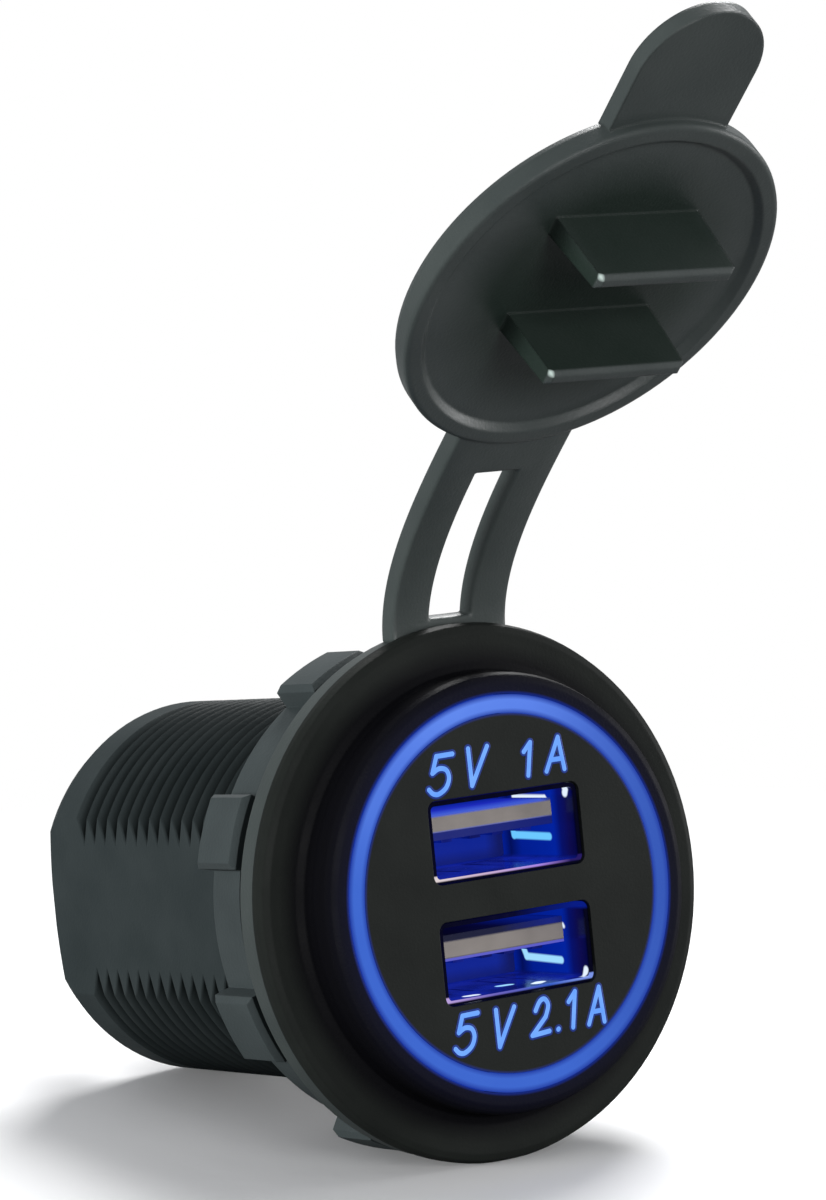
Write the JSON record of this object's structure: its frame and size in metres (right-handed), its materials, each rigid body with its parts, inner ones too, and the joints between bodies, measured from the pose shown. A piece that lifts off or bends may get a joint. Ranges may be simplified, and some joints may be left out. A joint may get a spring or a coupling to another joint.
{
  "type": "car usb charger",
  "caption": "Round panel-mounted car USB charger with two lit ports, a threaded barrel with ring nut, and a tethered rubber dust cap with plugs.",
  "frame": {"origin": "on the barrel's axis, in the plane of the rubber collar's back, which seats on the panel", "axes": "+Y along the barrel towards the terminals, -Y the way the face looks, +Z towards the strap and the open cap, +X to the right seen from the front"},
  "size_m": [0.0384, 0.0825, 0.0772],
  "materials": {
    "barrel_plastic": "fine matte",
    "nut_plastic": "fine matte",
    "cap_rubber": "soft satin",
    "face_plastic": "satin",
    "ring_diffuser": "translucent, lit from behind",
    "circuit_board": "solder mask",
    "led_body": "clear resin",
    "plated_steel": "bright plated",
    "tongue_plastic": "moulded",
    "contact_metal": "gilt",
    "ferrite": "matte",
    "copper_wire": "lacquered wire",
    "capacitor_can": "drawn can",
    "chip_resin": "moulded resin",
    "terminal_metal": "tinned"
  },
  "bodies": {
    "charger": {"housing": "barrel_plastic", "rubber_collar": "cap_rubber", "cap_strap": "cap_rubber", "face_plate": "face_plastic", "light_ring": "ring_diffuser", "led_board": "circuit_board", "ring_lights": "led_body", "led_link_pins": "contact_metal", "port_board": "circuit_board", "board_link_pins": "contact_metal", "power_board": "circuit_board", "inductor_core": "ferrite", "inductor_winding": "copper_wire", "input_capacitor": "capacitor_can", "output_capacitors": "capacitor_can", "converter_chip": "chip_resin", "input_diode": "chip_resin", "port_chips": "chip_resin", "chip_resistors": "chip_resin", "rear_cover": "barrel_plastic", "positive_terminal": "terminal_metal", "negative_terminal": "terminal_metal", "usb_shell_lower": "plated_steel", "usb_shell_upper": "plated_steel", "usb_insulator_lower": "tongue_plastic", "usb_insulator_upper": "tongue_plastic", "usb_contacts_lower": "contact_metal", "usb_contacts_upper": "contact_metal"},
    "cap": {"dust_cap": "cap_rubber"},
    "nut": {"ring_nut": "nut_plastic"}
  },
  "joints": [
    {"name": "dust_cap_hinge", "type": "hinge", "parent": "charger", "child": "cap", "pos_m": [0, -0.0052, 0.0239], "axis": [1, 0, 0], "range_deg": [-40, 132.3], "stiffness_Nm_per_rad": 0.002, "springref_deg": -6.88, "deforming": ["cap_strap"]},
    {"name": "ring_nut_travel", "type": "slide", "parent": "charger", "child": "nut", "axis": [0, 1, 0], "range_m": [-0.0013, 0.0265]}
  ]
}
